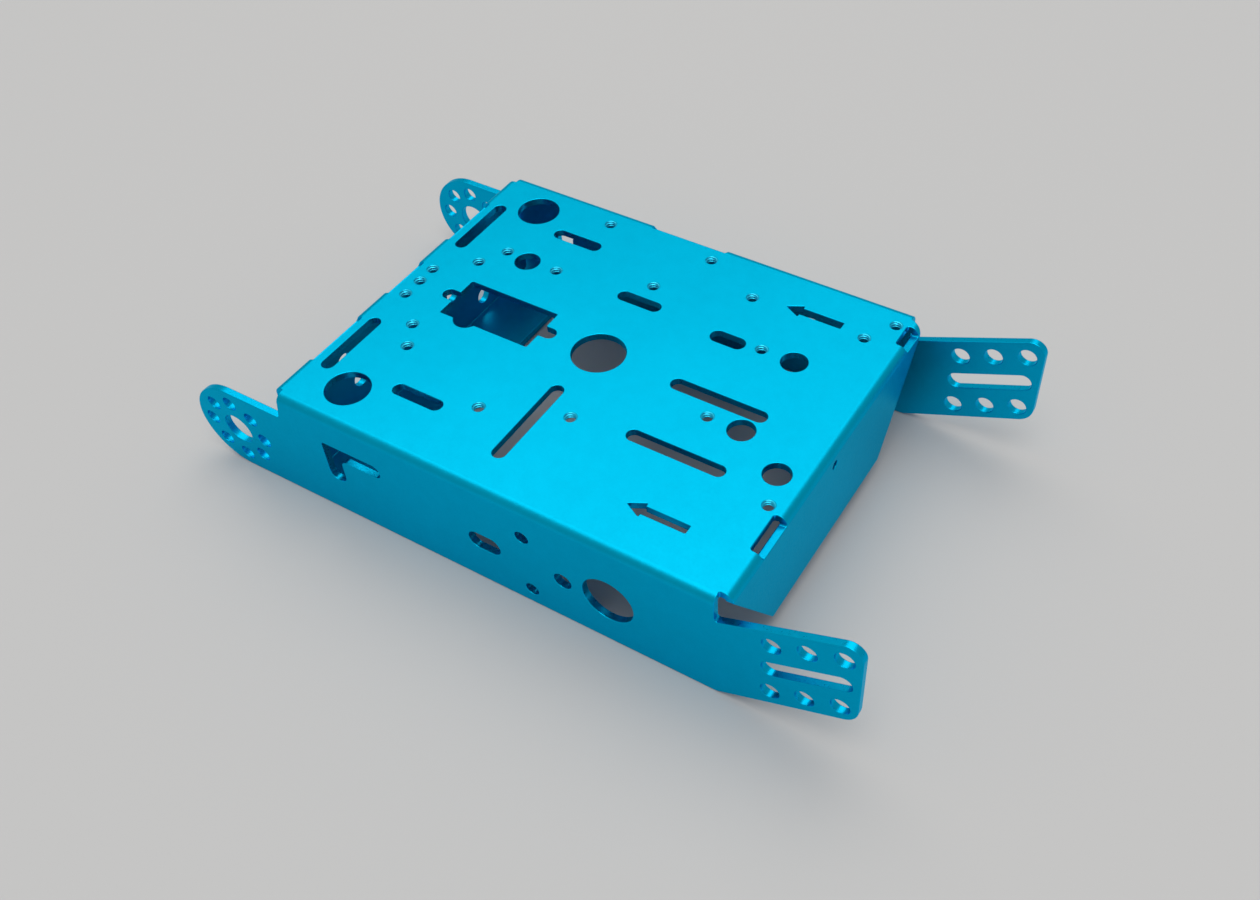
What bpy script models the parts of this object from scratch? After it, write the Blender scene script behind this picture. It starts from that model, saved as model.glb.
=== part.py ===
"""Folded sheet-aluminium chassis of a small tracked robot.

A deck with hanging sides, a rear flange and a front flange with a return lip,
all 3 mm sheet. The origin is the middle of the footprint at the height of the
lower edges. +X is forward, +Y is the left side and +Z is up. The dimensions
below are in millimetres, measured along X from the deck's centre hole.
"""

import math

import bmesh
import bpy

MM = 0.001

# Sheet and folds
SHEET = 3.0
BEND_RADIUS = 3.5
BEND_STEPS = 6
QUARTER_BEND = BEND_RADIUS * math.pi / 2
SPLIT_GAP = 0.3
CUT_THROUGH = 3.0

# Overall
DECK_TOP = 50.0
CENTRE_HOLE_X = 2.8
SIDE_TANGENT_Y = 71.5
SIDE_OUTER_Y = SIDE_TANGENT_Y + BEND_RADIUS
FRONT_TANGENT_X = 88.5
REAR_TANGENT_X = -92.7

# Side plates, heights below the deck's top
SIDE_DEPTH = 50.0
SIDE_REAR_X = -91.2
SIDE_FRONT_TOP_X = 88.0
LUG_START_X = 89.8
LUG_CENTRE_X = 116.6
LUG_RADIUS = 19.2
LUG_TOP = SIDE_DEPTH - 2 * LUG_RADIUS
LUG_BORE = 13.0
LUG_HOLE = 6.0
LUG_CIRCLE = 26.2
LUG_HOLES = 8

# Idler arms
ARM_SLOPE = math.atan(0.42)
ARM_END_X = -141.4
ARM_TOP_AT_START = -11.5
ARM_CORNER_TOP = 5.0
ARM_CORNER_BOTTOM = 7.5
ARM_HOLE = 6.8
ARM_HOLE_X = (-111.2, -123.25, -135.3)
ARM_ROWS = (-10.4, -35.05)
ARM_SLOT = (33.0, 6.6)

# Rear flange: half-widths at the deck and corners at the lower edge
REAR_DEPTH = 42.3
REAR_TOP_Y = 71.1
REAR_BEND_RIGHT_Y = -68.0
REAR_LOW_LEFT_Y = 44.4
REAR_LOW_RIGHT_Y = -38.2
REAR_WINDOWS = ((-66.9, -56.2), (35.9, 52.3))
REAR_HOLE = (1.4, -7.2, 3.5)

# Front flange and its return lip
FRONT_HALF_WIDTH = 70.7
FRONT_WINDOWS = ((-53.3, -26.6), (-10.3, 10.9), (26.6, 53.3))
FRONT_HOLE = 7.2
FRONT_HOLES = ((-40.4, -39.7), (-22.5, -25.6), (34.5, -25.1), (39.9, -12.5))
LIP_REAR_X = 63.0
LIP_HALF_WIDTH = 69.0

# Right-hand side: the one place where a side bend is cut away
RIGHT_WINDOW_X = (-12.0, 22.0)

# Deck cut-outs: round holes as x, y, diameter
DECK_HOLES = (
    (0.0, 0.0, 20.2),
    (67.95, -58.7, 16.7),
    (67.95, 58.7, 16.7),
    (53.2, -30.2, 10.0),
    (-64.0, -29.9, 10.0),
    (-63.9, 8.6, 10.0),
    (-83.9, 20.3, 10.0),
)
# Deck slots as centre x, centre y, length, width, with the long side along X
DECK_SLOTS_X = (
    (43.35, -50.5, 21.3, 5.2),
    (43.35, 50.0, 21.3, 5.2),
    (2.2, -31.2, 18.4, 5.2),
    (-37.4, -28.7, 14.0, 6.0),
    (-49.9, -0.15, 38.2, 5.5),
    (-49.65, 28.45, 38.3, 5.2),
)
# The same, with the long side along Y
DECK_SLOTS_Y = (
    (82.75, -39.5, 30.4, 5.1),
    (82.75, 39.5, 30.4, 5.1),
    (2.3, 40.3, 39.0, 5.2),
)
# M5 tapped holes in the deck
TAPPED_BORE = 4.2
TAPPED_FRONT = ((82.9, -8.6), (82.8, -0.6), (82.8, 8.1), (69.7, -20.8), (69.4, 20.5))
TAPPED_SERVO = ((63.5, -31.4), (40.0, -30.9), (63.5, 30.8), (21.4, 43.4), (2.1, -41.2))
TAPPED_RIGHT = ((37.3, -65.4), (-9.5, -65.2), (-34.0, -53.5), (-80.3, -53.4), (-87.6, -65.1))
TAPPED_REAR = ((-50.7, -30.1), (-50.6, 8.6), (-9.5, 31.9), (-87.9, 33.5))

# Servo opening: body, ears for its tabs and a rounded bulge on the left
SERVO_X = (25.0, 64.7)
SERVO_HALF_WIDTH = 10.1
SERVO_EAR_X = (19.1, 70.6)
SERVO_EAR_WIDTH = 5.4
BULGE_X = 53.6
BULGE_REACH = 13.3
BULGE_DIAMETER = 10.0

# Arrow cut-outs: y of the axis
ARROW_Y = (-55.5, 55.0)
ARROW_TIP_X = -47.5
ARROW_BARB_X = -53.5
ARROW_TAIL_X = -70.35
ARROW_HEAD = 6.2
ARROW_SHAFT = 3.4

# Side cut-outs, the same on both sides: x, height under the deck, diameter
SIDE_HOLES = (
    (-17.2, -15.1, 5.4),
    (-17.95, -42.8, 5.4),
    (-32.25, -29.15, 7.0),
    (-50.4, -28.0, 20.0),
)
SIDE_SLOT = (0.35, -28.7, 13.5, 8.0)
ANGLE_CUT_X = (44.2, 63.0, 70.6)
ANGLE_CUT_Z = (-14.2, -20.4, -32.7)

BLUE = (0.004, 0.40, 0.68, 1.0)
ROUGHNESS = 0.42


def arc(cx, cy, radius, start, end, steps):
    """Points on a circular arc, both ends included, angles in degrees."""
    points = []
    for step in range(steps + 1):
        angle = math.radians(start + (end - start) * step / steps)
        points.append((cx + radius * math.cos(angle), cy + radius * math.sin(angle)))
    return points


def circle(cx, cy, diameter):
    """A closed ring of points whose count follows the size."""
    steps = 12 if diameter < 5 else 18 if diameter < 9 else 28
    return arc(cx, cy, diameter / 2, 0, 360, steps)[:-1]


def turned(points, cx, cy, angle):
    """The points turned about a centre and moved to it, angle in radians."""
    c = math.cos(angle)
    s = math.sin(angle)
    return [(cx + c * x - s * y, cy + s * x + c * y) for x, y in points]


def slot(cx, cy, length, width, angle=0.0):
    """A slot with half-round ends, its long side turned by the angle."""
    reach = (length - width) / 2
    right = arc(reach, 0, width / 2, -90, 90, 8)
    left = arc(-reach, 0, width / 2, 90, 270, 8)
    return turned(right + left, cx, cy, angle)


def rounded(corners, steps=5):
    """A polygon whose corners, given as x, y, radius, are rounded off."""
    ring = []
    count = len(corners)
    for index, (x, y, radius) in enumerate(corners):
        if radius == 0:
            ring.append((x, y))
            continue
        before = corners[index - 1]
        after = corners[(index + 1) % count]
        ring += fillet((before[0], before[1]), (x, y), (after[0], after[1]), radius, steps)
    return ring


def fillet(before, corner, after, radius, steps):
    """The arc that rounds one corner."""
    ax, ay = unit(before[0] - corner[0], before[1] - corner[1])
    bx, by = unit(after[0] - corner[0], after[1] - corner[1])
    half = math.acos(max(-1.0, min(1.0, ax * bx + ay * by))) / 2
    mx, my = unit(ax + bx, ay + by)
    centre = (corner[0] + mx * radius / math.sin(half), corner[1] + my * radius / math.sin(half))
    reach = radius / math.tan(half)
    first = math.atan2(corner[1] + ay * reach - centre[1], corner[0] + ax * reach - centre[0])
    last = math.atan2(corner[1] + by * reach - centre[1], corner[0] + bx * reach - centre[0])
    sweep = (last - first + math.pi) % (2 * math.pi) - math.pi
    return arc(*centre, radius, math.degrees(first), math.degrees(first + sweep), steps)


def unit(x, y):
    length = math.hypot(x, y)
    return x / length, y / length


def add_ring(curve, ring):
    spline = curve.splines.new("POLY")
    spline.points.add(len(ring) - 1)
    for point, (x, y) in zip(spline.points, ring):
        point.co = (x * MM, y * MM, 0.0, 1.0)
    spline.use_cyclic_u = True


def blank(name, outline, holes):
    """A flat blank in local u, s, w: its outer face at w = 0 and the sheet below it."""
    curve = bpy.data.curves.new(name + "_blank", "CURVE")
    curve.dimensions = "2D"
    curve.fill_mode = "BOTH"
    curve.extrude = SHEET / 2 * MM
    for ring in [outline] + holes:
        add_ring(curve, ring)
    helper = bpy.data.objects.new(name + "_blank", curve)
    bpy.context.scene.collection.objects.link(helper)
    bpy.context.view_layer.update()
    mesh = bpy.data.meshes.new_from_object(helper)
    bpy.data.objects.remove(helper)
    bm = bmesh.new()
    bm.from_mesh(mesh)
    bpy.data.meshes.remove(mesh)
    bmesh.ops.remove_doubles(bm, verts=bm.verts, dist=0.000001)
    bmesh.ops.translate(bm, verts=bm.verts, vec=(0.0, 0.0, -SHEET / 2 * MM))
    return bm


def cut_across(bm, distances):
    """Adds an edge loop across the blank at each distance s."""
    for s in distances:
        everything = bm.verts[:] + bm.edges[:] + bm.faces[:]
        bmesh.ops.bisect_plane(
            bm,
            geom=everything,
            dist=0.0000001,
            plane_co=(0.0, s * MM, 0.0),
            plane_no=(0.0, 1.0, 0.0),
        )


def folded(s, depth, web):
    """Where a blank's point goes: reach past the first tangent, and height below the deck.

    The sheet turns down over the first bend, runs straight for the length of
    the web and, where the blank is longer, turns back under over a second bend.
    """
    radius = BEND_RADIUS
    if s <= QUARTER_BEND:
        turn = s / radius
        return (radius - depth) * math.sin(turn), (radius - depth) * math.cos(turn) - radius
    if s <= QUARTER_BEND + web:
        return radius - depth, -radius - (s - QUARTER_BEND)
    turn = math.pi / 2 + (s - QUARTER_BEND - web) / radius
    low = -radius - web
    return (radius - depth) * math.sin(turn), (radius - depth) * math.cos(turn) + low


def bend_lines(start):
    """Distances of the edge loops that make one bend round."""
    return [start + QUARTER_BEND * step / BEND_STEPS for step in range(BEND_STEPS + 1)]


def below(z):
    """Distance along the blank of a height z under the deck's top."""
    return QUARTER_BEND - BEND_RADIUS - z


def finish(bm, name):
    """Turns the mesh into a named object with its own anodised material."""
    bmesh.ops.recalc_face_normals(bm, faces=bm.faces)
    if bm.calc_volume(signed=True) < 0:
        bmesh.ops.reverse_faces(bm, faces=bm.faces)
    mesh = bpy.data.meshes.new(name)
    bm.to_mesh(mesh)
    bm.free()
    mesh.shade_smooth()
    mesh.set_sharp_from_angle(angle=math.radians(30))
    mesh.materials.append(anodised(name))
    obj = bpy.data.objects.new(name, mesh)
    bpy.context.scene.collection.objects.link(obj)
    return obj


def anodised(name):
    material = bpy.data.materials.new(name + "_anodised")
    material.use_nodes = True
    shader = material.node_tree.nodes["Principled BSDF"]
    shader.inputs["Base Color"].default_value = BLUE
    shader.inputs["Metallic"].default_value = 1.0
    shader.inputs["Roughness"].default_value = ROUGHNESS
    return material


def place(bm, where):
    """Moves every vertex to where(u, s, depth) in millimetres from the centre hole."""
    for vert in bm.verts:
        u, s, w = (value / MM for value in vert.co)
        x, y, z = where(u, s, -w)
        vert.co = ((x + CENTRE_HOLE_X) * MM, y * MM, (z + DECK_TOP) * MM)


def servo_opening():
    """The servo opening with two rounded ears and the bulge for its cable."""
    x0, x1 = SERVO_X
    w = SERVO_HALF_WIDTH
    ear = SERVO_EAR_WIDTH / 2
    end0 = SERVO_EAR_X[0] + ear
    end1 = SERVO_EAR_X[1] - ear
    bulge_radius = BULGE_DIAMETER / 2
    bulge_centre = BULGE_REACH - bulge_radius
    dip = math.degrees(math.asin((w - bulge_centre) / bulge_radius))
    ring = [(x0, -w), (x1, -w), (x1, -ear)]
    ring += arc(end1, 0, ear, -90, 90, 8)
    ring += [(x1, ear), (x1, w)]
    ring += arc(BULGE_X, bulge_centre, bulge_radius, dip, 180 - dip, 8)
    ring += [(x0, w), (x0, ear)]
    ring += arc(end0, 0, ear, 90, 270, 8)
    ring += [(x0, -ear)]
    return ring


def arrow(y):
    """An arrow cut-out that points forward."""
    head = ARROW_HEAD / 2
    shaft = ARROW_SHAFT / 2
    upper = [(ARROW_TAIL_X, y - shaft), (ARROW_BARB_X, y - shaft), (ARROW_BARB_X, y - head)]
    lower = [(ARROW_BARB_X, y + head), (ARROW_BARB_X, y + shaft), (ARROW_TAIL_X, y + shaft)]
    return upper + [(ARROW_TIP_X, y)] + lower


def deck_holes():
    holes = [servo_opening()]
    holes += [arrow(y) for y in ARROW_Y]
    holes += [circle(x, y, d) for x, y, d in DECK_HOLES]
    holes += [slot(x, y, length, width) for x, y, length, width in DECK_SLOTS_X]
    holes += [slot(x, y, length, width, math.pi / 2) for x, y, length, width in DECK_SLOTS_Y]
    for group in (TAPPED_FRONT, TAPPED_SERVO, TAPPED_RIGHT, TAPPED_REAR):
        holes += [circle(x, y, TAPPED_BORE) for x, y in group]
    return holes


def deck_plate():
    x0 = REAR_TANGENT_X + SPLIT_GAP
    x1 = FRONT_TANGENT_X - SPLIT_GAP
    y = SIDE_TANGENT_Y - SPLIT_GAP
    bm = blank("deck_plate", [(x0, -y), (x1, -y), (x1, y), (x0, y)], deck_holes())
    place(bm, lambda u, s, depth: (u, s, -depth))
    return finish(bm, "deck_plate")


def angle_cut():
    """The angled cut-out near the front of each side, as x and s."""
    back, inner, front = ANGLE_CUT_X
    top, shelf, low = (below(z) for z in ANGLE_CUT_Z)
    corners = [
        (back, top, 3.0),
        (front, top, 1.5),
        (front, low, 3.7),
        (inner, low, 3.7),
        (inner, shelf, 2.5),
        (back, shelf, 3.0),
    ]
    return rounded(corners)


def side_holes():
    holes = [circle(x, below(z), d) for x, z, d in SIDE_HOLES]
    x, z, length, width = SIDE_SLOT
    holes.append(slot(x, below(z), length, width))
    holes.append(angle_cut())
    return holes


def side_plate(name, side, window):
    """A side with its bend, hanging from the deck's edge; side is +1 left or -1 right."""
    front = LUG_START_X - SPLIT_GAP / 2
    outline = [(SIDE_REAR_X, 0.0)]
    if window:
        cut = below(-CUT_THROUGH)
        outline += [(window[0], 0.0), (window[0], cut), (window[1], cut), (window[1], 0.0)]
    outline += [
        (SIDE_FRONT_TOP_X, 0.0),
        (SIDE_FRONT_TOP_X, QUARTER_BEND),
        (front, below(-LUG_TOP)),
        (front, below(-SIDE_DEPTH)),
        (SIDE_REAR_X, below(-SIDE_DEPTH)),
    ]
    bm = blank(name, outline, side_holes())
    cut_across(bm, bend_lines(0.0)[1:])
    web = SIDE_DEPTH - BEND_RADIUS

    def where(u, s, depth):
        reach, z = folded(s, depth, web)
        return u, side * (SIDE_TANGENT_Y + reach), z

    place(bm, where)
    return finish(bm, name)


def upright(name, side, outline, holes):
    """A flat plate in line with a side, drawn in x and z."""
    bm = blank(name, outline, holes)
    place(bm, lambda u, s, depth: (u, side * (SIDE_OUTER_Y - depth), s))
    return finish(bm, name)


def motor_lug(name, side):
    """The round-nosed lug that carries a drive motor."""
    x0 = LUG_START_X + SPLIT_GAP / 2
    cz = LUG_RADIUS - SIDE_DEPTH
    nose = arc(LUG_CENTRE_X, cz, LUG_RADIUS, -90, 90, 24)
    outline = [(x0, -SIDE_DEPTH)] + nose + [(x0, -LUG_TOP)]
    holes = [circle(LUG_CENTRE_X, cz, LUG_BORE)]
    for index in range(LUG_HOLES):
        angle = 2 * math.pi * index / LUG_HOLES
        x = LUG_CENTRE_X + LUG_CIRCLE / 2 * math.cos(angle)
        z = cz + LUG_CIRCLE / 2 * math.sin(angle)
        holes.append(circle(x, z, LUG_HOLE))
    return upright(name, side, outline, holes)


def idler_arm(name, side):
    """The rising arm that carries an idler wheel on a slot and two rows of holes."""
    x0 = SIDE_REAR_X - SPLIT_GAP
    rise = math.tan(ARM_SLOPE) * (x0 - ARM_END_X)
    corners = [
        (x0, -SIDE_DEPTH, 0.0),
        (x0, ARM_TOP_AT_START, 0.0),
        (ARM_END_X, ARM_TOP_AT_START + rise, ARM_CORNER_TOP),
        (ARM_END_X, -SIDE_DEPTH + rise, ARM_CORNER_BOTTOM),
    ]
    holes = []
    for x in ARM_HOLE_X:
        for z in ARM_ROWS:
            holes.append(circle(x, z + math.tan(ARM_SLOPE) * (ARM_HOLE_X[0] - x), ARM_HOLE))
    middle_x = ARM_HOLE_X[1]
    middle_z = sum(ARM_ROWS) / 2 + math.tan(ARM_SLOPE) * (ARM_HOLE_X[0] - middle_x)
    holes.append(slot(middle_x, middle_z, *ARM_SLOT, math.pi - ARM_SLOPE))
    return upright(name, side, rounded(corners, 6), holes)


def tabbed_edge(half_low, half_high, windows):
    """The top edge of a flange blank: bends where it is joined, cut lower at windows."""
    cut = below(-CUT_THROUGH)
    edge = [(half_low, 0.0)]
    for low, high in windows:
        edge += [(low, 0.0), (low, cut), (high, cut), (high, 0.0)]
    edge.append((half_high, 0.0))
    return edge


def rear_flange():
    outline = tabbed_edge(-REAR_TOP_Y, REAR_TOP_Y, REAR_WINDOWS)
    outline += [
        (REAR_TOP_Y, QUARTER_BEND),
        (REAR_LOW_LEFT_Y, below(-REAR_DEPTH)),
        (REAR_LOW_RIGHT_Y, below(-REAR_DEPTH)),
        (REAR_BEND_RIGHT_Y, QUARTER_BEND),
    ]
    y, z, diameter = REAR_HOLE
    bm = blank("rear_flange", outline, [circle(y, below(z), diameter)])
    cut_across(bm, bend_lines(0.0)[1:])
    web = REAR_DEPTH - BEND_RADIUS

    def where(u, s, depth):
        reach, height = folded(s, depth, web)
        return REAR_TANGENT_X - reach, u, height

    place(bm, where)
    return finish(bm, "rear_flange")


def front_flange():
    web = SIDE_DEPTH - 2 * BEND_RADIUS
    end = 2 * QUARTER_BEND + web
    narrow = QUARTER_BEND + web - 1.0
    outline = tabbed_edge(-FRONT_HALF_WIDTH, FRONT_HALF_WIDTH, FRONT_WINDOWS)
    outline += [
        (FRONT_HALF_WIDTH, narrow),
        (LIP_HALF_WIDTH, narrow),
        (LIP_HALF_WIDTH, end),
        (-LIP_HALF_WIDTH, end),
        (-LIP_HALF_WIDTH, narrow),
        (-FRONT_HALF_WIDTH, narrow),
    ]
    holes = [circle(y, below(z), FRONT_HOLE) for y, z in FRONT_HOLES]
    bm = blank("front_flange", outline, holes)
    cut_across(bm, bend_lines(0.0)[1:] + bend_lines(QUARTER_BEND + web)[:-1])

    def where(u, s, depth):
        reach, height = folded(s, depth, web)
        return FRONT_TANGENT_X + reach, u, height

    place(bm, where)
    return finish(bm, "front_flange")


def front_floor_lip():
    """The flat lip that returns under the chassis from the front flange."""
    x1 = FRONT_TANGENT_X - SPLIT_GAP
    y = LIP_HALF_WIDTH
    corners = [(LIP_REAR_X, -y, 2.0), (x1, -y, 0.0), (x1, y, 0.0), (LIP_REAR_X, y, 2.0)]
    bm = blank("front_floor_lip", rounded(corners), [])
    place(bm, lambda u, s, depth: (u, s, depth - SIDE_DEPTH))
    return finish(bm, "front_floor_lip")


def clear_scene():
    for obj in list(bpy.data.objects):
        bpy.data.objects.remove(obj)


def main():
    clear_scene()
    deck_plate()
    side_plate("left_side_plate", 1, None)
    side_plate("right_side_plate", -1, RIGHT_WINDOW_X)
    motor_lug("left_motor_lug", 1)
    motor_lug("right_motor_lug", -1)
    idler_arm("left_idler_arm", 1)
    idler_arm("right_idler_arm", -1)
    rear_flange()
    front_flange()
    front_floor_lip()


main()
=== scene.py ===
"""Looks of a tracked robot's chassis: one folded, tapped and blue anodised sheet.

The whole chassis is drawn as a flat blank in millimetres from the deck's centre
hole, x forward and y to the left. The blank gets soft cut edges and real threads.
It is then folded along its bend lines and divided into the pieces that stand for
the CAD nodes, so the sheet runs on without a seam from piece to piece.
"""

import math

import bmesh
import bpy
from mathutils import Matrix, Vector
from mathutils.geometry import tessellate_polygon


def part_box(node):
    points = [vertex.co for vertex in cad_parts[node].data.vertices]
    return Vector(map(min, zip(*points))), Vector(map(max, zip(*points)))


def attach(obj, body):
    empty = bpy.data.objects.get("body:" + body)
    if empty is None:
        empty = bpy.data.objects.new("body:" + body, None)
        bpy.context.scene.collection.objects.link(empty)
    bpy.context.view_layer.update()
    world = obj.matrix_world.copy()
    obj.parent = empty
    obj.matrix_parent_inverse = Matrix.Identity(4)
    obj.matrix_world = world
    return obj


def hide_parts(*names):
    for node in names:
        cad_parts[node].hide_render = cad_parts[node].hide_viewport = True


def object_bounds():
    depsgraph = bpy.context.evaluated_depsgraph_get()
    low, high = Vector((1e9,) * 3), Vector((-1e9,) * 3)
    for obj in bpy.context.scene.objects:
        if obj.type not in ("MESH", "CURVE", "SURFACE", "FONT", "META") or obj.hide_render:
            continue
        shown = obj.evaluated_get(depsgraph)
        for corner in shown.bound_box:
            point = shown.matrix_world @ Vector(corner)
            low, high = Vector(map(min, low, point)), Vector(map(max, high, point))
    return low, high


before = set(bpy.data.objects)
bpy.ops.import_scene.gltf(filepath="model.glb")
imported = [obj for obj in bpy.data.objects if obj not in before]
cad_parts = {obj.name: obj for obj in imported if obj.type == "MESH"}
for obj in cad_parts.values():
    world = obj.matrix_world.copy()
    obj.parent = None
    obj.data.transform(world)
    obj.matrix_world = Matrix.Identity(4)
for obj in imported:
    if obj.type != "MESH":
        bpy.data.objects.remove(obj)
cad_box = [[float(value) for value in corner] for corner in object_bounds()]

MM = 0.001

# The sheet's thickness, its folds' outer radius and its cut edges' rounding
SHEET = 3.0
BEND = 3.5
BEND_STEPS = 10
QUARTER = BEND * math.pi / 2
EDGE = 0.35
EDGE_STEPS = 4

# How finely arcs are drawn
CHORD_ERROR = 0.012
MOST_ERROR_SHARE = 0.5
FEWEST_STEPS = 3
FEWEST_SIDES = 24

# Corners: a plain one, one at the root of a lug or an arm, and how far a full round
# stays short of half its width, so that its two corners don't meet
CORNER = 0.35
ROOT_CORNER = 1.0
ROUND_SHORT = 0.001
SLOT_SHORT = 0.0005

# What a vertex lies on, for the material: a face, a laser-cut wall or a thread
ON_FACE, ON_WALL, ON_THREAD = 0.0, 1.0, 2.0

# Overall: the deck's height, its centre hole's place in the frame, the bends' tangents,
# the depth of the sides, that of the front flange between its bends, and one so deep
# that the sheet never turns under
DECK_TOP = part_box("deck_plate")[1].z / MM
CENTRE_X = 2.8
SIDE_Y = cad_box[1][1] / MM - BEND
FRONT_X = 88.5
REAR_X = -92.7
DEPTH = DECK_TOP
WEB_FRONT = DEPTH - 2 * BEND
ENDLESS = 2 * DEPTH

# Sides, lugs and arms, with heights below the deck's top
SIDE_REAR_X = -91.2
SIDE_LOW_REAR_X = SIDE_REAR_X - 0.2
SIDE_LOW_CORNER = 6.0
SIDE_FRONT_TOP_X = 88.0
SIDE_FRONT_CORNER = 2.0
LUG_START_X = 89.8
LUG_CENTRE_X = 116.6
LUG_RADIUS = 19.2
LUG_TOP = DEPTH - 2 * LUG_RADIUS
LUG_BORE = 13.0
LUG_HOLE = 6.0
LUG_CIRCLE = 26.2
LUG_HOLES = 8
ARM_SPLIT_X = -91.5
ARM_SLOPE = 0.42
ARM_END_X = -141.4
ARM_TOP = -11.5
ARM_CORNERS = (5.0, 7.5)
ARM_HOLE = 6.8
ARM_HOLE_X = (-111.2, -123.25, -135.3)
ARM_ROWS = (-10.4, -35.05)
ARM_SLOT = (33.0, 6.6)

# Side cut-outs: holes as x, z, diameter, the slot as x, z, length, width, and the
# angle-shaped cut-out's corners as x, z, radius
SIDE_HOLES = (
    (-17.2, -15.1, 5.4),
    (-17.95, -42.8, 5.4),
    (-32.25, -29.15, 7.0),
    (-50.4, -28.0, 20.0),
)
SIDE_SLOT = (0.35, -28.7, 13.5, 8.0)
ANGLE_CUT = (
    (44.2, -14.2, 3.0),
    (70.6, -14.2, 1.5),
    (70.6, -32.7, 3.7),
    (63.0, -32.7, 3.7),
    (63.0, -20.4, 2.5),
    (44.2, -20.4, 3.0),
)

# Rear flange, which isn't symmetrical, with its hole as y, z, diameter
REAR_DEPTH = 42.3
REAR_TOP_Y = 71.1
REAR_BEND_LEFT_Y = 71.1
REAR_BEND_RIGHT_Y = -68.0
REAR_LOW_LEFT_Y = 44.4
REAR_LOW_RIGHT_Y = -38.2
REAR_BEND_CORNER = 1.5
REAR_LOW_CORNER = 1.0
REAR_HOLE = (1.4, -7.2, 3.5)

# Front flange, with its holes as y, z, and the lip that returns under the chassis
FRONT_HALF = 70.7
FRONT_HOLE = 7.2
FRONT_HOLES = ((-40.4, -39.7), (-22.5, -25.6), (34.5, -25.1), (39.9, -12.5))
SHOULDER_RISE = 1.0
SHOULDER_CORNERS = (1.2, 0.8)
LIP_REAR_X = 63.0
LIP_HALF = 69.0
LIP_CORNER = 2.0

# Windows along the bends, and how far below the deck's top they reach
WINDOW_DEPTH = 3.0
WINDOW_CORNER = 1.1
FRONT_WINDOWS_Y = ((-53.3, -26.6), (-10.3, 10.9), (26.6, 53.3))
REAR_WINDOWS_Y = ((-66.9, -56.2), (35.9, 52.3))
REAR_WINDOW_X = -91.3
RIGHT_WINDOW_X = (-12.0, 22.0)

# Deck cut-outs: round holes as x, y, diameter
DECK_HOLES = (
    (0.0, 0.0, 20.2),
    (67.95, -58.7, 16.7),
    (67.95, 58.7, 16.7),
    (53.2, -30.2, 10.0),
    (-64.0, -29.9, 10.0),
    (-63.9, 8.6, 10.0),
    (-83.9, 20.3, 10.0),
)
# Slots along X, then along Y, as centre x, centre y, length, width
SLOTS_X = (
    (43.35, -50.5, 21.3, 5.2),
    (43.35, 50.0, 21.3, 5.2),
    (2.2, -31.2, 18.4, 5.2),
    (-37.4, -28.7, 14.0, 6.0),
    (-49.9, -0.15, 38.2, 5.5),
    (-49.65, 28.45, 38.3, 5.2),
)
SLOTS_Y = (
    (82.75, -39.5, 30.4, 5.1),
    (82.75, 39.5, 30.4, 5.1),
    (2.3, 40.3, 39.0, 5.2),
)

# Tapped holes: their thread, their chamfered mouths and where they are
THREAD_MAJOR = 4.8
THREAD_DEPTH = 0.5
THREAD_PITCH = 1.0
THREAD_ROWS = 36
THREAD_SIDES = 36
THREAD_RUN_OUT = 0.25
THREAD_GROOVE_SHARE = 0.25
THREAD_FLANK_SHARE = 0.625
SLOPE_STEP = 0.02
MOUTH = 0.1
MOUTH_LIP = 0.1
THREAD_START = MOUTH * 1.2
TAPPED_FRONT = ((82.9, -8.6), (82.8, -0.6), (82.8, 8.1), (69.7, -20.8), (69.4, 20.5))
TAPPED_SERVO = ((63.5, -31.4), (40.0, -30.9), (63.5, 30.8), (21.4, 43.4), (2.1, -41.2))
TAPPED_RIGHT = ((37.3, -65.4), (-9.5, -65.2), (-34.0, -53.5), (-80.3, -53.4), (-87.6, -65.1))
TAPPED_REAR = ((-50.7, -30.1), (-50.6, 8.6), (-9.5, 31.9), (-87.9, 33.5))

# Servo opening, with its ears and its round bulge on the left, and arrows
SERVO_X = (25.0, 64.7)
SERVO_HALF = 10.1
SERVO_CORNER = 0.5
SERVO_EAR_X = (19.1, 70.6)
SERVO_EAR = 5.4
SERVO_EAR_CORNER = 0.6
BULGE_X = 53.6
BULGE_REACH = 13.3
BULGE_RADIUS = 5.0
BULGE_FLANK = math.radians(35)
ARROW_Y = (-55.5, 55.0)
ARROW_TIP_X = -47.5
ARROW_BARB_X = -53.5
ARROW_TAIL_X = -70.35
ARROW_HEAD = 6.2
ARROW_HEAD_CORNER = 0.25
ARROW_SHAFT = 3.4
ARROW_SHAFT_CORNER = 0.3

# Fold lines: how far past the sides' tangents those of the flanges may run, how far
# past them the sheet hangs clear of the bends, and how near a point moves onto a line
FLANGE_MARGIN = 1.0
HANG_MARGIN = 8.0
LOOP_SNAP = 0.00001

# Anodised colours
FACE_BLUES = ((0.0005, 0.445, 0.745, 1.0), (0.0005, 0.475, 0.790, 1.0))
WALL_BLUE = (0.0005, 0.455, 0.810, 1.0)
THREAD_BLUE = (0.030, 0.620, 0.930, 1.0)
GLANCING_TINT = (0.45, 0.92, 1.0, 1.0)
SPECKS = ((0.93, 0.95, 0.96, 1.0), (1.0, 1.0, 1.0, 1.0))

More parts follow.
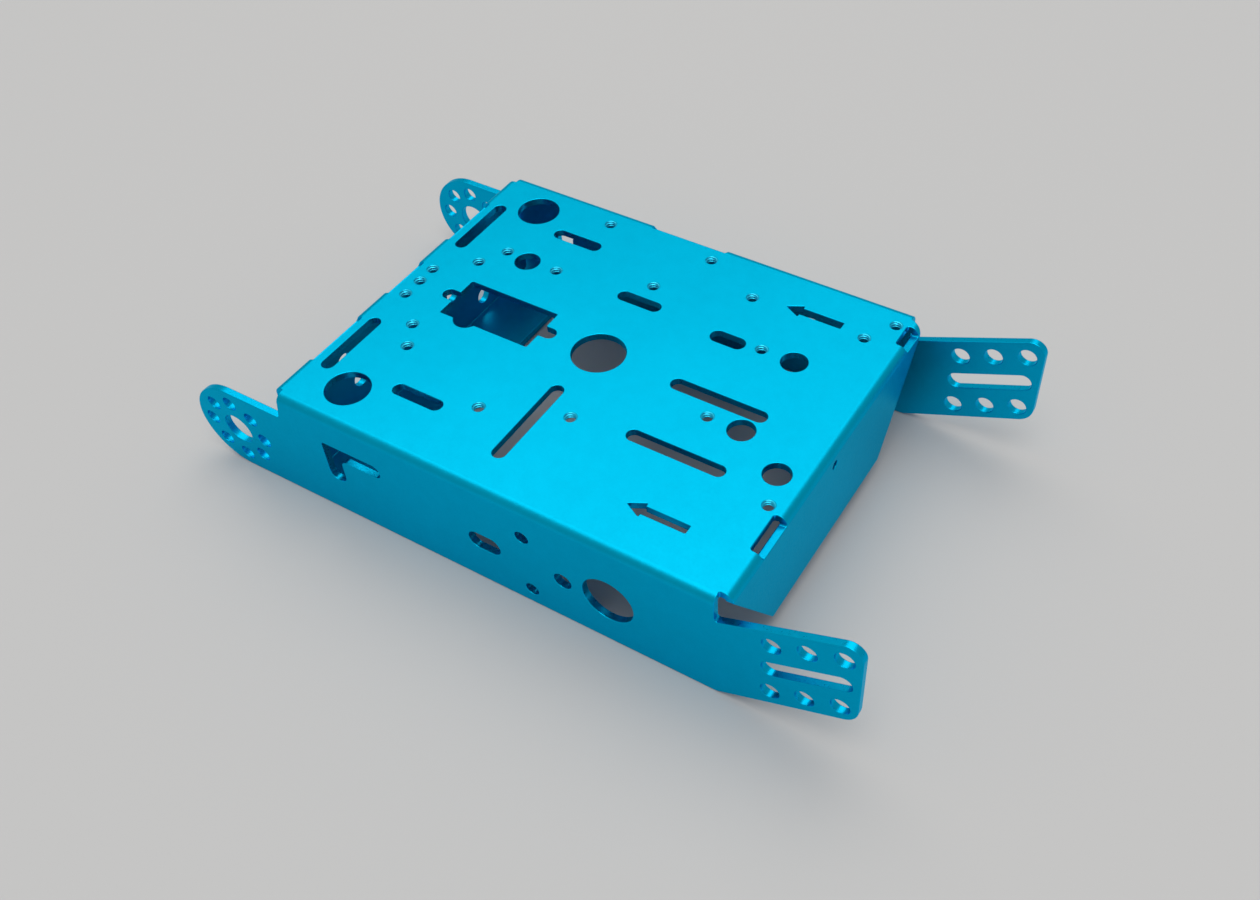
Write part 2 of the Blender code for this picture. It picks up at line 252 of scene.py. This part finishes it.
# Surface noises as scale, detail, roughness
CLOUD_NOISE = (14.0, 3.0, 0.5)
SPECK_NOISE = (160.0, 4.0, 0.6)
MATTE_NOISE = (900.0, 3.0, 0.6)
GRAIN_NOISE = (2600.0, 2.0, 0.7)
STRIA_NOISE = (2200.0, 1.0, 0.5)
NOISE_RANGE = (0.3, 0.7)
STRIA_STRETCH = (1.0, 1.0, 0.04)
MATTE_RANGE = (0.34, 0.43)
WALL_POLISH = 0.08
GRAIN_STRENGTH = 0.55
GRAIN_DEPTH = 0.00004

# Stage and light, in metres: lamps as name, place, size, watts
FLOOR_SIZE = 12.0
FLOOR_Z = -0.0002
FLOOR_COLOUR = (0.545, 0.553, 0.603, 1.0)
FLOOR_ROUGHNESS = 0.7
SKY_COLOUR = (1.0, 0.98, 0.91, 1.0)
SKY_STRENGTH = 0.46
LAMP_COLOUR = (1.0, 0.98, 0.88)
LAMPS = (
    ("far_ceiling", (0.88, -1.28, 3.42), (4.2, 3.6), 60.0),
    ("lamp", (-0.60, 0.84, 3.40), (2.4, 1.6), 38.0),
)

# Camera, behind the chassis's left side and above it
CAMERA_AT = (-0.2111, 0.2775, 0.3728)
CAMERA_AZIMUTH = math.radians(-57.54)
CAMERA_ELEVATION = math.radians(46.72)
CAMERA_ROLL = math.radians(-2.37)
CAMERA_LENS = 37.48
CAMERA_SENSOR = 36.0
CAMERA_SHIFT = (-0.0472, -0.0083)
CAMERA_CLIP = 0.01


# ---------------------------------------------------------------- rings


def unit(x, y):
    length = math.hypot(x, y)
    return x / length, y / length


def signed_area(points):
    total = 0.0
    for (ax, ay), (bx, by) in zip(points, points[1:] + points[:1]):
        total += ax * by - bx * ay
    return total / 2


def arc_steps(radius, sweep):
    """How many chords keep an arc within the chord error."""
    step = 2 * math.acos(1 - min(MOST_ERROR_SHARE, CHORD_ERROR / radius))
    return max(FEWEST_STEPS, math.ceil(abs(sweep) / step))


def ring(corners, hole):
    """Points with outward normals, as x, y, nx, ny, of a polygon with rounded corners.

    Each corner is x, y, radius. The material lies to the left of the path.
    """
    flat = [(x, y) for x, y, _ in corners]
    if (signed_area(flat) < 0) != hole:
        corners = corners[::-1]
    points = []
    for index, corner in enumerate(corners):
        before = corners[index - 1]
        after = corners[(index + 1) % len(corners)]
        points += corner_arc(before, corner, after)
    return points


def corner_arc(before, corner, after):
    """The points of one rounded corner, on the way from the corner before to the one after."""
    x, y, radius = corner
    ax, ay = unit(x - before[0], y - before[1])
    bx, by = unit(after[0] - x, after[1] - y)
    turn = math.atan2(ax * by - ay * bx, ax * bx + ay * by)
    side = 1.0 if turn > 0 else -1.0
    reach = radius * math.tan(abs(turn) / 2)
    start = (x - ax * reach, y - ay * reach)
    cx = start[0] - ay * side * radius
    cy = start[1] + ax * side * radius
    steps = arc_steps(radius, turn)
    points = []
    for step in range(steps + 1):
        angle = turn * step / steps
        nx = ay * math.cos(angle) + ax * math.sin(angle)
        ny = -ax * math.cos(angle) + ay * math.sin(angle)
        points.append((cx + nx * side * radius, cy + ny * side * radius, nx, ny))
    return points


def circle(cx, cy, diameter, sides=0):
    """A round hole's ring, with the given number of sides or enough of them, four by four."""
    radius = diameter / 2
    count = sides or max(FEWEST_SIDES, 4 * math.ceil(arc_steps(radius, 2 * math.pi) / 4))
    points = []
    for step in range(count):
        angle = -2 * math.pi * step / count
        nx, ny = -math.cos(angle), -math.sin(angle)
        points.append((cx - radius * nx, cy - radius * ny, nx, ny))
    return points


def slot(cx, cy, length, width, angle=0.0):
    """A slot with half-round ends, its long side turned by the angle."""
    radius = width / 2 - SLOT_SHORT
    half_x, half_y = length / 2, width / 2
    c, s = math.cos(angle), math.sin(angle)
    corners = []
    for sx, sy in ((-1, -1), (1, -1), (1, 1), (-1, 1)):
        x, y = sx * half_x, sy * half_y
        corners.append((cx + c * x - s * y, cy + s * x + c * y, radius))
    return ring(corners, True)


def below(z):
    """Distance past the tangent, along the blank, of a height z under the deck's top."""
    return QUARTER - BEND - z


def spot(side, x, z):
    """A point of a side, given in x and z, as x and y on the blank."""
    return x, side * (SIDE_Y + below(z))


def from_side(side, x, z, radius):
    """A corner of a side, given in x and z, placed on the blank."""
    return *spot(side, x, z), radius


# ---------------------------------------------------------------- the blank's outline


def side_outline(side):
    """The corners of one side from its rear edge round the arm and the lug to its front edge."""
    rise = ARM_SLOPE * (SIDE_REAR_X - ARM_END_X)
    nose_x = LUG_CENTRE_X + LUG_RADIUS
    nose = LUG_RADIUS - ROUND_SHORT
    return [
        from_side(side, SIDE_REAR_X, ARM_TOP, ROOT_CORNER),
        from_side(side, ARM_END_X, ARM_TOP + rise, ARM_CORNERS[0]),
        from_side(side, ARM_END_X, -DEPTH + rise, ARM_CORNERS[1]),
        from_side(side, SIDE_LOW_REAR_X, -DEPTH, SIDE_LOW_CORNER),
        from_side(side, nose_x, -DEPTH, nose),
        from_side(side, nose_x, -LUG_TOP, nose),
        from_side(side, LUG_START_X, -LUG_TOP, ROOT_CORNER),
        (SIDE_FRONT_TOP_X, side * (SIDE_Y + QUARTER), SIDE_FRONT_CORNER),
    ]


def front_outline(side):
    """The corners of one end of the front flange and lip, from the deck outwards."""
    shoulder = FRONT_X + QUARTER + WEB_FRONT - SHOULDER_RISE
    end = FRONT_X + 2 * QUARTER + WEB_FRONT + (FRONT_X - LIP_REAR_X)
    return [
        (SIDE_FRONT_TOP_X, side * FRONT_HALF, CORNER),
        (shoulder, side * FRONT_HALF, SHOULDER_CORNERS[0]),
        (shoulder, side * LIP_HALF, SHOULDER_CORNERS[1]),
        (end, side * LIP_HALF, LIP_CORNER),
    ]


def rear_outline(side, bend_y, low_y):
    """The corners of one end of the rear flange, from the deck outwards."""
    return [
        (SIDE_REAR_X, side * REAR_TOP_Y, CORNER),
        (REAR_X - QUARTER, bend_y, REAR_BEND_CORNER),
        (REAR_X - below(-REAR_DEPTH), low_y, REAR_LOW_CORNER),
    ]


def outline():
    """The ring round the whole blank."""
    corners = rear_outline(1, REAR_BEND_LEFT_Y, REAR_LOW_LEFT_Y)[::-1] + side_outline(1)
    corners += front_outline(1) + front_outline(-1)[::-1]
    corners += side_outline(-1)[::-1] + rear_outline(-1, REAR_BEND_RIGHT_Y, REAR_LOW_RIGHT_Y)
    return ring(corners, False)


# ---------------------------------------------------------------- the blank's cut-outs


def window(x0, x1, y0, y1):
    """A rectangular window with small round corners."""
    corners = [(x0, y0), (x1, y0), (x1, y1), (x0, y1)]
    return ring([(x, y, WINDOW_CORNER) for x, y in corners], True)


def windows():
    """The windows along the bends, from the deck into the bend."""
    reach = below(-WINDOW_DEPTH)
    holes = [window(FRONT_X, FRONT_X + reach, y0, y1) for y0, y1 in FRONT_WINDOWS_Y]
    holes += [window(REAR_X - reach, REAR_WINDOW_X, y0, y1) for y0, y1 in REAR_WINDOWS_Y]
    holes.append(window(*RIGHT_WINDOW_X, -SIDE_Y - reach, -SIDE_Y))
    return holes


def servo_opening():
    """The ring round the servo's body, its ears and its bulge."""
    x0, x1 = SERVO_X
    rear, front = SERVO_EAR_X
    w = SERVO_HALF
    ear = SERVO_EAR / 2
    body, root, end = SERVO_CORNER, SERVO_EAR_CORNER, ear - ROUND_SHORT
    flank_x = math.cos(BULGE_FLANK) * BULGE_RADIUS
    flank_y = BULGE_REACH - BULGE_RADIUS + math.sin(BULGE_FLANK) * BULGE_RADIUS
    foot = flank_x + (flank_y - w) * math.tan(BULGE_FLANK)
    corners = [(x0, -w, body), (x1, -w, body), (x1, -ear, root)]
    corners += [(front, -ear, end), (front, ear, end), (x1, ear, root), (x1, w, body)]
    corners += [(BULGE_X + foot, w, root)]
    corners += tangent_corners(BULGE_X, BULGE_REACH - BULGE_RADIUS, BULGE_RADIUS, BULGE_FLANK)
    corners += [(BULGE_X - foot, w, root), (x0, w, body), (x0, ear, root)]
    corners += [(rear, ear, end), (rear, -ear, end), (x0, -ear, root)]
    return ring(corners, True)


def tangent_corners(cx, cy, radius, first):
    """Two corners that together round the arc over a centre, from one flank to the other."""
    span = (math.pi - 2 * first) / 2
    distance = radius / math.cos(span / 2)
    corners = []
    for step in (0.5, 1.5):
        angle = first + span * step
        x, y = cx + distance * math.cos(angle), cy + distance * math.sin(angle)
        corners.append((x, y, radius - ROUND_SHORT))
    return corners


def arrow(y):
    """An arrow that points forward, on an axis at y."""
    head, shaft = ARROW_HEAD / 2, ARROW_SHAFT / 2
    corners = [
        (ARROW_TAIL_X, y - shaft, ARROW_SHAFT_CORNER),
        (ARROW_BARB_X, y - shaft, ARROW_SHAFT_CORNER),
        (ARROW_BARB_X, y - head, ARROW_HEAD_CORNER),
        (ARROW_TIP_X, y, ARROW_HEAD_CORNER),
        (ARROW_BARB_X, y + head, ARROW_HEAD_CORNER),
        (ARROW_BARB_X, y + shaft, ARROW_SHAFT_CORNER),
        (ARROW_TAIL_X, y + shaft, ARROW_SHAFT_CORNER),
    ]
    return ring(corners, True)


def side_cuts(side):
    """The cut-outs of one side, its lug and its arm."""
    holes = [circle(*spot(side, x, z), d) for x, z, d in SIDE_HOLES]
    x, z, length, width = SIDE_SLOT
    holes.append(slot(*spot(side, x, z), length, width))
    holes.append(ring([from_side(side, *corner) for corner in ANGLE_CUT], True))
    return holes + lug_cuts(side) + arm_cuts(side)


def lug_cuts(side):
    """The centre hole of a lug and the ring of holes round it."""
    cz = LUG_RADIUS - DEPTH
    holes = [circle(*spot(side, LUG_CENTRE_X, cz), LUG_BORE)]
    for index in range(LUG_HOLES):
        angle = 2 * math.pi * index / LUG_HOLES
        x = LUG_CENTRE_X + LUG_CIRCLE / 2 * math.cos(angle)
        z = cz + LUG_CIRCLE / 2 * math.sin(angle)
        holes.append(circle(*spot(side, x, z), LUG_HOLE))
    return holes


def arm_cuts(side):
    """The two rows of holes of an arm and the slot between them, all along its slope."""
    holes = []
    for x in ARM_HOLE_X:
        for row in ARM_ROWS:
            z = row + ARM_SLOPE * (ARM_HOLE_X[0] - x)
            holes.append(circle(*spot(side, x, z), ARM_HOLE))
    x = ARM_HOLE_X[1]
    z = sum(ARM_ROWS) / 2 + ARM_SLOPE * (ARM_HOLE_X[0] - x)
    holes.append(slot(*spot(side, x, z), *ARM_SLOT, side * math.atan(ARM_SLOPE)))
    return holes


def plain_cuts():
    """The rings of every opening that isn't tapped."""
    holes = windows() + [servo_opening()] + [arrow(y) for y in ARROW_Y]
    holes += [circle(x, y, d) for x, y, d in DECK_HOLES]
    holes += [slot(*place) for place in SLOTS_X]
    holes += [slot(*place, math.pi / 2) for place in SLOTS_Y]
    holes += [circle(FRONT_X + below(z), y, FRONT_HOLE) for y, z in FRONT_HOLES]
    y, z, diameter = REAR_HOLE
    holes.append(circle(REAR_X - below(z), y, diameter))
    return holes + side_cuts(1) + side_cuts(-1)


# ---------------------------------------------------------------- edge and thread profiles


def edge_profile():
    """A cut edge from the upper face to the lower, as offset, depth, and the normal's lean."""
    rows = []
    for step in range(EDGE_STEPS + 1):
        angle = math.pi / 2 * step / EDGE_STEPS
        out, up = math.sin(angle), math.cos(angle)
        rows.append((EDGE * (out - 1), EDGE * (up - 1), out, up))
    return rows + [(offset, -SHEET - depth, out, -up) for offset, depth, out, up in reversed(rows)]


def edge_rows(points):
    """The vertices of a plain cut edge, row by row, as place, normal and what they lie on.

    The rounding passes from face to wall as its normal leans out.
    """
    rows = []
    for offset, depth, out, up in edge_profile():
        row = []
        for x, y, nx, ny in points:
            row.append(((x + nx * offset, y + ny * offset, depth), (nx * out, ny * out, up), out))
        rows.append(row)
    return rows


def thread_rows(points):
    """The same for a tapped hole: a chamfered mouth, a single-start thread and a second mouth."""
    base = THREAD_MAJOR / 2
    slant = math.sqrt(0.5)
    mouth = (
        (base + MOUTH, 0.0, 0.0, 1.0, ON_FACE),
        (base + MOUTH * (1 - MOUTH_LIP), -MOUTH * MOUTH_LIP, slant, slant, ON_WALL),
        (base, -MOUTH, slant, slant, ON_WALL),
    )
    rows = [mouth_row(points, *row) for row in mouth]
    span = SHEET - 2 * THREAD_START
    for index in range(THREAD_ROWS + 1):
        rows.append(thread_row(points, -THREAD_START - span * index / THREAD_ROWS))
    for radius, depth, out, up, kind in reversed(mouth):
        rows.append(mouth_row(points, radius, -SHEET - depth, out, -up, kind))
    return rows


def thread_radius(turn, depth):
    """The bore's radius at a turn (0 to 1) and depth: the thread runs out at both faces."""
    inside = min(-depth, SHEET + depth)
    fade = max(0.0, min(1.0, (inside - MOUTH) / THREAD_RUN_OUT))
    ramp = abs(2 * ((depth / THREAD_PITCH + turn) % 1.0) - 1)
    flank = max(0.0, min(1.0, (ramp - THREAD_GROOVE_SHARE) / THREAD_FLANK_SHARE))
    return THREAD_MAJOR / 2 - THREAD_DEPTH * fade * flank


def mouth_row(points, radius, depth, out, up, kind):
    """One plain row round a tapped hole, with the lean of its normals and what it lies on."""
    grow = THREAD_MAJOR / 2 - radius
    row = []
    for x, y, nx, ny in points:
        row.append(((x + nx * grow, y + ny * grow, depth), (nx * out, ny * out, up), kind))
    return row


def thread_row(points, depth):
    """One row round a tapped hole's thread, with the thread's own normals."""
    row = []
    for index, (x, y, nx, ny) in enumerate(points):
        turn = index / len(points)
        grow = THREAD_MAJOR / 2 - thread_radius(turn, depth)
        above = thread_radius(turn, depth + SLOPE_STEP)
        slope = (above - thread_radius(turn, depth - SLOPE_STEP)) / (2 * SLOPE_STEP)
        length = math.hypot(1.0, slope)
        normal = (nx / length, ny / length, slope / length)
        row.append(((x + nx * grow, y + ny * grow, depth), normal, ON_THREAD))
    return row


# ---------------------------------------------------------------- meshing and folding


def add_rows(bm, rows, layers):
    """Adds a ring's rows and the walls between them; returns the first and last rows' vertices."""
    normal_layer, kind_layer = layers
    made = []
    for row in rows:
        verts = []
        for place, normal, kind in row:
            vert = bm.verts.new(place)
            vert[normal_layer] = normal
            vert[kind_layer] = kind
            verts.append(vert)
        made.append(verts)
    for upper, lower in zip(made, made[1:]):
        for index, vert in enumerate(upper):
            after = (index + 1) % len(upper)
            bm.faces.new((vert, lower[index], lower[after], upper[after]))
    return made[0], made[-1]


def blank():
    """The whole flat blank as one closed mesh."""
    bm = bmesh.new()
    made = bm.verts.layers
    layers = (made.float_vector.new("sheet_normal"), made.float.new("cut"))
    tapped = TAPPED_FRONT + TAPPED_SERVO + TAPPED_RIGHT + TAPPED_REAR
    rings = [edge_rows(outline())]
    rings += [edge_rows(points) for points in plain_cuts()]
    rings += [thread_rows(circle(x, y, THREAD_MAJOR, THREAD_SIDES)) for x, y in tapped]
    tops, lows = [], []
    for rows in rings:
        top, low = add_rows(bm, rows, layers)
        tops.append(top)
        lows.append(low)
    fill(bm, tops, True)
    fill(bm, lows, False)
    return bm


def fill(bm, loops, up):
    """Triangles over a face of the blank, between its outline and its holes."""
    verts = [vert for loop in loops for vert in loop]
    flat = [[Vector((vert.co.x, vert.co.y, 0.0)) for vert in loop] for loop in loops]
    for a, b, c in tessellate_polygon(flat):
        first, second, third = verts[a], verts[b], verts[c]
        cross = (second.co - first.co).cross(third.co - first.co).z
        if (cross > 0) != up:
            second, third = third, second
        bm.faces.new((first, second, third))


def add_loop(bm, axis, value, keep):
    """Adds an edge loop where a coordinate has a value, over the faces that keep accepts."""
    faces = [face for face in bm.faces if keep(face.calc_center_median())]
    edges = list({edge for face in faces for edge in face.edges})
    verts = list({vert for edge in edges for vert in edge.verts})
    normal = [0.0, 0.0, 0.0]
    normal[axis] = 1.0
    point = [0.0, 0.0, 0.0]
    point[axis] = value
    geometry = verts + edges + faces
    bmesh.ops.bisect_plane(bm, geom=geometry, dist=LOOP_SNAP, plane_co=point, plane_no=normal)


def off_arms(point):
    return not is_arm(point)


def in_middle(point):
    """Whether a point of the blank lies on the deck, a flange or the lip."""
    return abs(point.y) < SIDE_Y + FLANGE_MARGIN and not is_arm(point)


def hangs(point):
    """Whether a point of the blank is on a lug, an arm or well below a side's bend."""
    return abs(point.y) > SIDE_Y + HANG_MARGIN - ARM_SLOPE * max(0.0, SIDE_REAR_X - point.x)


def is_arm(point):
    """Whether a point of the blank lies on an arm, beside the slanted end of the rear flange."""
    return point.x < SIDE_REAR_X and hangs(point)


def cut_bends(bm):
    """Adds the edge loops along which the blank folds, and those between the pieces."""
    add_loop(bm, 0, LUG_START_X, hangs)
    add_loop(bm, 0, ARM_SPLIT_X, hangs)
    steps = [QUARTER * step / BEND_STEPS for step in range(BEND_STEPS + 1)]
    for s in steps:
        add_loop(bm, 1, SIDE_Y + s, off_arms)
        add_loop(bm, 1, -(SIDE_Y + s), off_arms)
    for s in steps:
        add_loop(bm, 0, FRONT_X + s, in_middle)
        add_loop(bm, 0, REAR_X - s, in_middle)
        add_loop(bm, 0, FRONT_X + QUARTER + WEB_FRONT + s, in_middle)


def folded(s, depth, web):
    """Reach past the tangent, height and heading of the sheet at distance s along the blank.

    The sheet turns down at the tangent and, past a web of the given depth, turns under.
    """
    if s <= QUARTER:
        turn = s / BEND
        return (BEND - depth) * math.sin(turn), (BEND - depth) * math.cos(turn) - BEND, turn
    if s <= QUARTER + web:
        return BEND - depth, -BEND - (s - QUARTER), math.pi / 2
    turn = min(math.pi, math.pi / 2 + (s - QUARTER - web) / BEND)
    low = -BEND - web
    run = max(0.0, s - 2 * QUARTER - web)
    return (BEND - depth) * math.sin(turn) - run, (BEND - depth) * math.cos(turn) + low, turn


def upright(s, depth):
    """The same as folded for the arms, which stand clear of the bend and rise past it."""
    return BEND - depth, QUARTER - BEND - s, math.pi / 2


def turned(across, up, side, turn):
    """A normal's part across the bend and its part upwards, once the sheet has turned."""
    across *= side
    swung = side * (across * math.cos(turn) + up * math.sin(turn))
    return swung, up * math.cos(turn) - across * math.sin(turn)


def fold_vertex(vert, normal_layer):
    """Moves a vertex of the blank, and its normal, to the folded chassis."""
    x, y, w = vert.co
    nx, ny, nw = vert[normal_layer]
    if abs(y) > SIDE_Y or is_arm(vert.co):
        side = math.copysign(1.0, y)
        s = abs(y) - SIDE_Y
        reach, z, turn = upright(s, -w) if is_arm(vert.co) else folded(s, -w, ENDLESS)
        y = side * (SIDE_Y + reach)
        ny, nw = turned(ny, nw, side, turn)
    elif x > FRONT_X or x < REAR_X:
        side, tangent, web = (1.0, FRONT_X, WEB_FRONT) if x > FRONT_X else (-1.0, REAR_X, ENDLESS)
        reach, z, turn = folded(side * (x - tangent), -w, web)
        x = tangent + side * reach
        nx, nw = turned(nx, nw, side, turn)
    else:
        z = w
    vert.co = ((x + CENTRE_X) * MM, y * MM, (z + DECK_TOP) * MM)
    vert[normal_layer] = Vector((nx, ny, nw)).normalized()


def node_of(point):
    """The CAD node that a face of the flat blank belongs to."""
    hand = "left" if point.y > 0 else "right"
    if is_arm(point) and point.x < ARM_SPLIT_X:
        return hand + "_idler_arm"
    if abs(point.y) > SIDE_Y:
        return hand + ("_motor_lug" if point.x > LUG_START_X else "_side_plate")
    if point.x > FRONT_X + 2 * QUARTER + WEB_FRONT:
        return "front_floor_lip"
    if point.x > FRONT_X:
        return "front_flange"
    return "rear_flange" if point.x < REAR_X else "deck_plate"


def piece_mesh(whole, owners, node):
    """The part of the folded sheet that stands for one node, closed where the sheet runs on."""
    bm = whole.copy()
    bm.faces.ensure_lookup_table()
    others = [bm.faces[index] for index, owner in enumerate(owners) if owner != node]
    bmesh.ops.delete(bm, geom=others, context="FACES")
    seam = [edge for edge in bm.edges if edge.is_boundary]
    closing = set(bmesh.ops.holes_fill(bm, edges=seam, sides=0)["faces"])
    bmesh.ops.recalc_face_normals(bm, faces=bm.faces)
    if bm.calc_volume(signed=True) < 0:
        bmesh.ops.reverse_faces(bm, faces=bm.faces)
    layer = bm.verts.layers.float_vector["sheet_normal"]
    normals = []
    for face in bm.faces:
        face.smooth = True
        for loop in face.loops:
            normals.append(face.normal.copy() if face in closing else Vector(loop.vert[layer]))
    mesh = bpy.data.meshes.new(node + "_sheet")
    bm.to_mesh(mesh)
    bm.free()
    mesh.normals_split_custom_set(normals)
    return mesh


def chassis_pieces(material):
    """Folds the blank and makes one piece for each CAD node."""
    bm = blank()
    cut_bends(bm)
    owners = [node_of(face.calc_center_median()) for face in bm.faces]
    layer = bm.verts.layers.float_vector["sheet_normal"]
    for vert in bm.verts:
        fold_vertex(vert, layer)
    bm.normal_update()
    for node in sorted(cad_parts):
        mesh = piece_mesh(bm, owners, node)
        mesh.materials.append(material)
        piece = bpy.data.objects.new(node + "_sheet", mesh)
        bpy.context.scene.collection.objects.link(piece)
        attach(piece, "root")
        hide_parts(node)
    bm.free()


# ---------------------------------------------------------------- material


def shader_node(tree, kind, **values):
    """Adds a shader node and sets its properties, or its inputs where the key names one."""
    made = tree.nodes.new(kind)
    for key, value in values.items():
        if key in made.inputs:
            made.inputs[key].default_value = value
        else:
            setattr(made, key, value)
    return made


def feed(tree, socket, value):
    """Sets an input to a number or a colour, or links another node's output to it."""
    if isinstance(value, (float, tuple)):
        socket.default_value = value
    else:
        tree.links.new(value, socket)


def noise(tree, coordinates, scale, detail, roughness):
    made = shader_node(tree, "ShaderNodeTexNoise", Scale=scale, Detail=detail, Roughness=roughness)
    tree.links.new(coordinates, made.inputs["Vector"])
    return made.outputs["Fac"]


def remap(tree, value, low, high):
    """Spreads the middle of a noise's range from low to high."""
    made = shader_node(tree, "ShaderNodeMapRange")
    made.inputs["From Min"].default_value = NOISE_RANGE[0]
    made.inputs["From Max"].default_value = NOISE_RANGE[1]
    made.inputs["To Min"].default_value = low
    made.inputs["To Max"].default_value = high
    tree.links.new(value, made.inputs["Value"])
    return made.outputs["Result"]


def mix_colour(tree, factor, first, second, blend="MIX"):
    """A mix of two colours, whose sockets are numbered because they share their names."""
    made = shader_node(tree, "ShaderNodeMix", data_type="RGBA", blend_type=blend)
    feed(tree, made.inputs["Factor"], factor)
    feed(tree, made.inputs[6], first)
    feed(tree, made.inputs[7], second)
    return made.outputs[2]


def maths(tree, operation, first, second):
    made = shader_node(tree, "ShaderNodeMath", operation=operation)
    feed(tree, made.inputs[0], first)
    feed(tree, made.inputs[1], second)
    return made.outputs[0]


def anodised_blue():
    """Bead-blasted, anodised aluminium: fine grain, faint clouding and shinier cut walls."""
    material = bpy.data.materials.new("anodised_blue")
    material.use_nodes = True
    tree = material.node_tree
    shader = tree.nodes["Principled BSDF"]
    shader.inputs["Metallic"].default_value = 1.0
    shader.inputs["Specular Tint"].default_value = GLANCING_TINT
    place = shader_node(tree, "ShaderNodeTexCoord").outputs["Object"]
    kind = shader_node(tree, "ShaderNodeAttribute", attribute_name="cut").outputs["Fac"]
    wall_share = maths(tree, "MINIMUM", kind, ON_WALL)
    thread_share = maths(tree, "MAXIMUM", maths(tree, "SUBTRACT", kind, ON_WALL), 0.0)

    cloud = remap(tree, noise(tree, place, *CLOUD_NOISE), 0.0, 1.0)
    mottle = remap(tree, noise(tree, place, *SPECK_NOISE), 0.0, 1.0)
    base = mix_colour(tree, cloud, *FACE_BLUES)
    speck = mix_colour(tree, mottle, *SPECKS)
    faces = mix_colour(tree, 1.0, base, speck, "MULTIPLY")
    walls = mix_colour(tree, wall_share, faces, WALL_BLUE)
    threads = mix_colour(tree, thread_share, walls, THREAD_BLUE)
    tree.links.new(threads, shader.inputs["Base Color"])

    matte = remap(tree, noise(tree, place, *MATTE_NOISE), *MATTE_RANGE)
    on_wall = maths(tree, "MULTIPLY", wall_share, WALL_POLISH)
    on_thread = maths(tree, "MULTIPLY", thread_share, WALL_POLISH)
    polish = maths(tree, "SUBTRACT", on_wall, on_thread)
    tree.links.new(maths(tree, "SUBTRACT", matte, polish), shader.inputs["Roughness"])

    grain = noise(tree, place, *GRAIN_NOISE)
    stretch = shader_node(tree, "ShaderNodeMapping")
    stretch.inputs["Scale"].default_value = STRIA_STRETCH
    tree.links.new(place, stretch.inputs["Vector"])
    striae = noise(tree, stretch.outputs["Vector"], *STRIA_NOISE)
    height = maths(tree, "ADD", grain, maths(tree, "MULTIPLY", striae, wall_share))
    bump = shader_node(tree, "ShaderNodeBump", Strength=GRAIN_STRENGTH, Distance=GRAIN_DEPTH)
    tree.links.new(height, bump.inputs["Height"])
    tree.links.new(bump.outputs["Normal"], shader.inputs["Normal"])
    return material


# ---------------------------------------------------------------- stage, light and camera


def floor():
    bpy.ops.mesh.primitive_plane_add(size=FLOOR_SIZE, location=(0.0, 0.0, FLOOR_Z))
    plane = bpy.context.object
    plane.name = "studio_floor"
    material = bpy.data.materials.new("pale_floor")
    material.use_nodes = True
    shader = material.node_tree.nodes["Principled BSDF"]
    shader.inputs["Base Color"].default_value = FLOOR_COLOUR
    shader.inputs["Roughness"].default_value = FLOOR_ROUGHNESS
    plane.data.materials.append(material)


def softbox(name, where, size, watts):
    """A rectangular lamp that faces the chassis."""
    lamp = bpy.data.lights.new(name, "AREA")
    lamp.shape = "RECTANGLE"
    lamp.size, lamp.size_y = size
    lamp.energy = watts
    lamp.color = LAMP_COLOUR
    obj = bpy.data.objects.new(name, lamp)
    obj.location = where
    obj.rotation_euler = (-Vector(where)).to_track_quat("-Z", "Y").to_euler()
    bpy.context.scene.collection.objects.link(obj)


def lights():
    world = bpy.data.worlds.new("studio_world")
    world.use_nodes = True
    background = world.node_tree.nodes["Background"]
    background.inputs["Color"].default_value = SKY_COLOUR
    background.inputs["Strength"].default_value = SKY_STRENGTH
    bpy.context.scene.world = world
    for lamp in LAMPS:
        softbox(*lamp)


def camera():
    """The camera looks down on the chassis from behind its left side."""
    flat, high = math.cos(CAMERA_ELEVATION), math.sin(CAMERA_ELEVATION)
    ahead, across = math.cos(CAMERA_AZIMUTH), math.sin(CAMERA_AZIMUTH)
    back = Vector((-flat * ahead, -flat * across, high))
    right = Vector((0.0, 0.0, 1.0)).cross(back).normalized()
    up = back.cross(right)
    c, s = math.cos(CAMERA_ROLL), math.sin(CAMERA_ROLL)
    turned_right = c * right + s * up
    turned_up = c * up - s * right
    data = bpy.data.cameras.new("main_view")
    data.lens = CAMERA_LENS
    data.sensor_width = CAMERA_SENSOR
    data.shift_x, data.shift_y = CAMERA_SHIFT
    data.clip_start = CAMERA_CLIP
    obj = bpy.data.objects.new("main_view", data)
    axes = Matrix((turned_right, turned_up, back)).transposed().to_4x4()
    obj.matrix_world = Matrix.Translation(CAMERA_AT) @ axes
    bpy.context.scene.collection.objects.link(obj)
    bpy.context.scene.camera = obj


bpy.context.scene.view_settings.view_transform = "Standard"
camera()
chassis_pieces(anodised_blue())
floor()
lights()

bpy.context.view_layer.update()
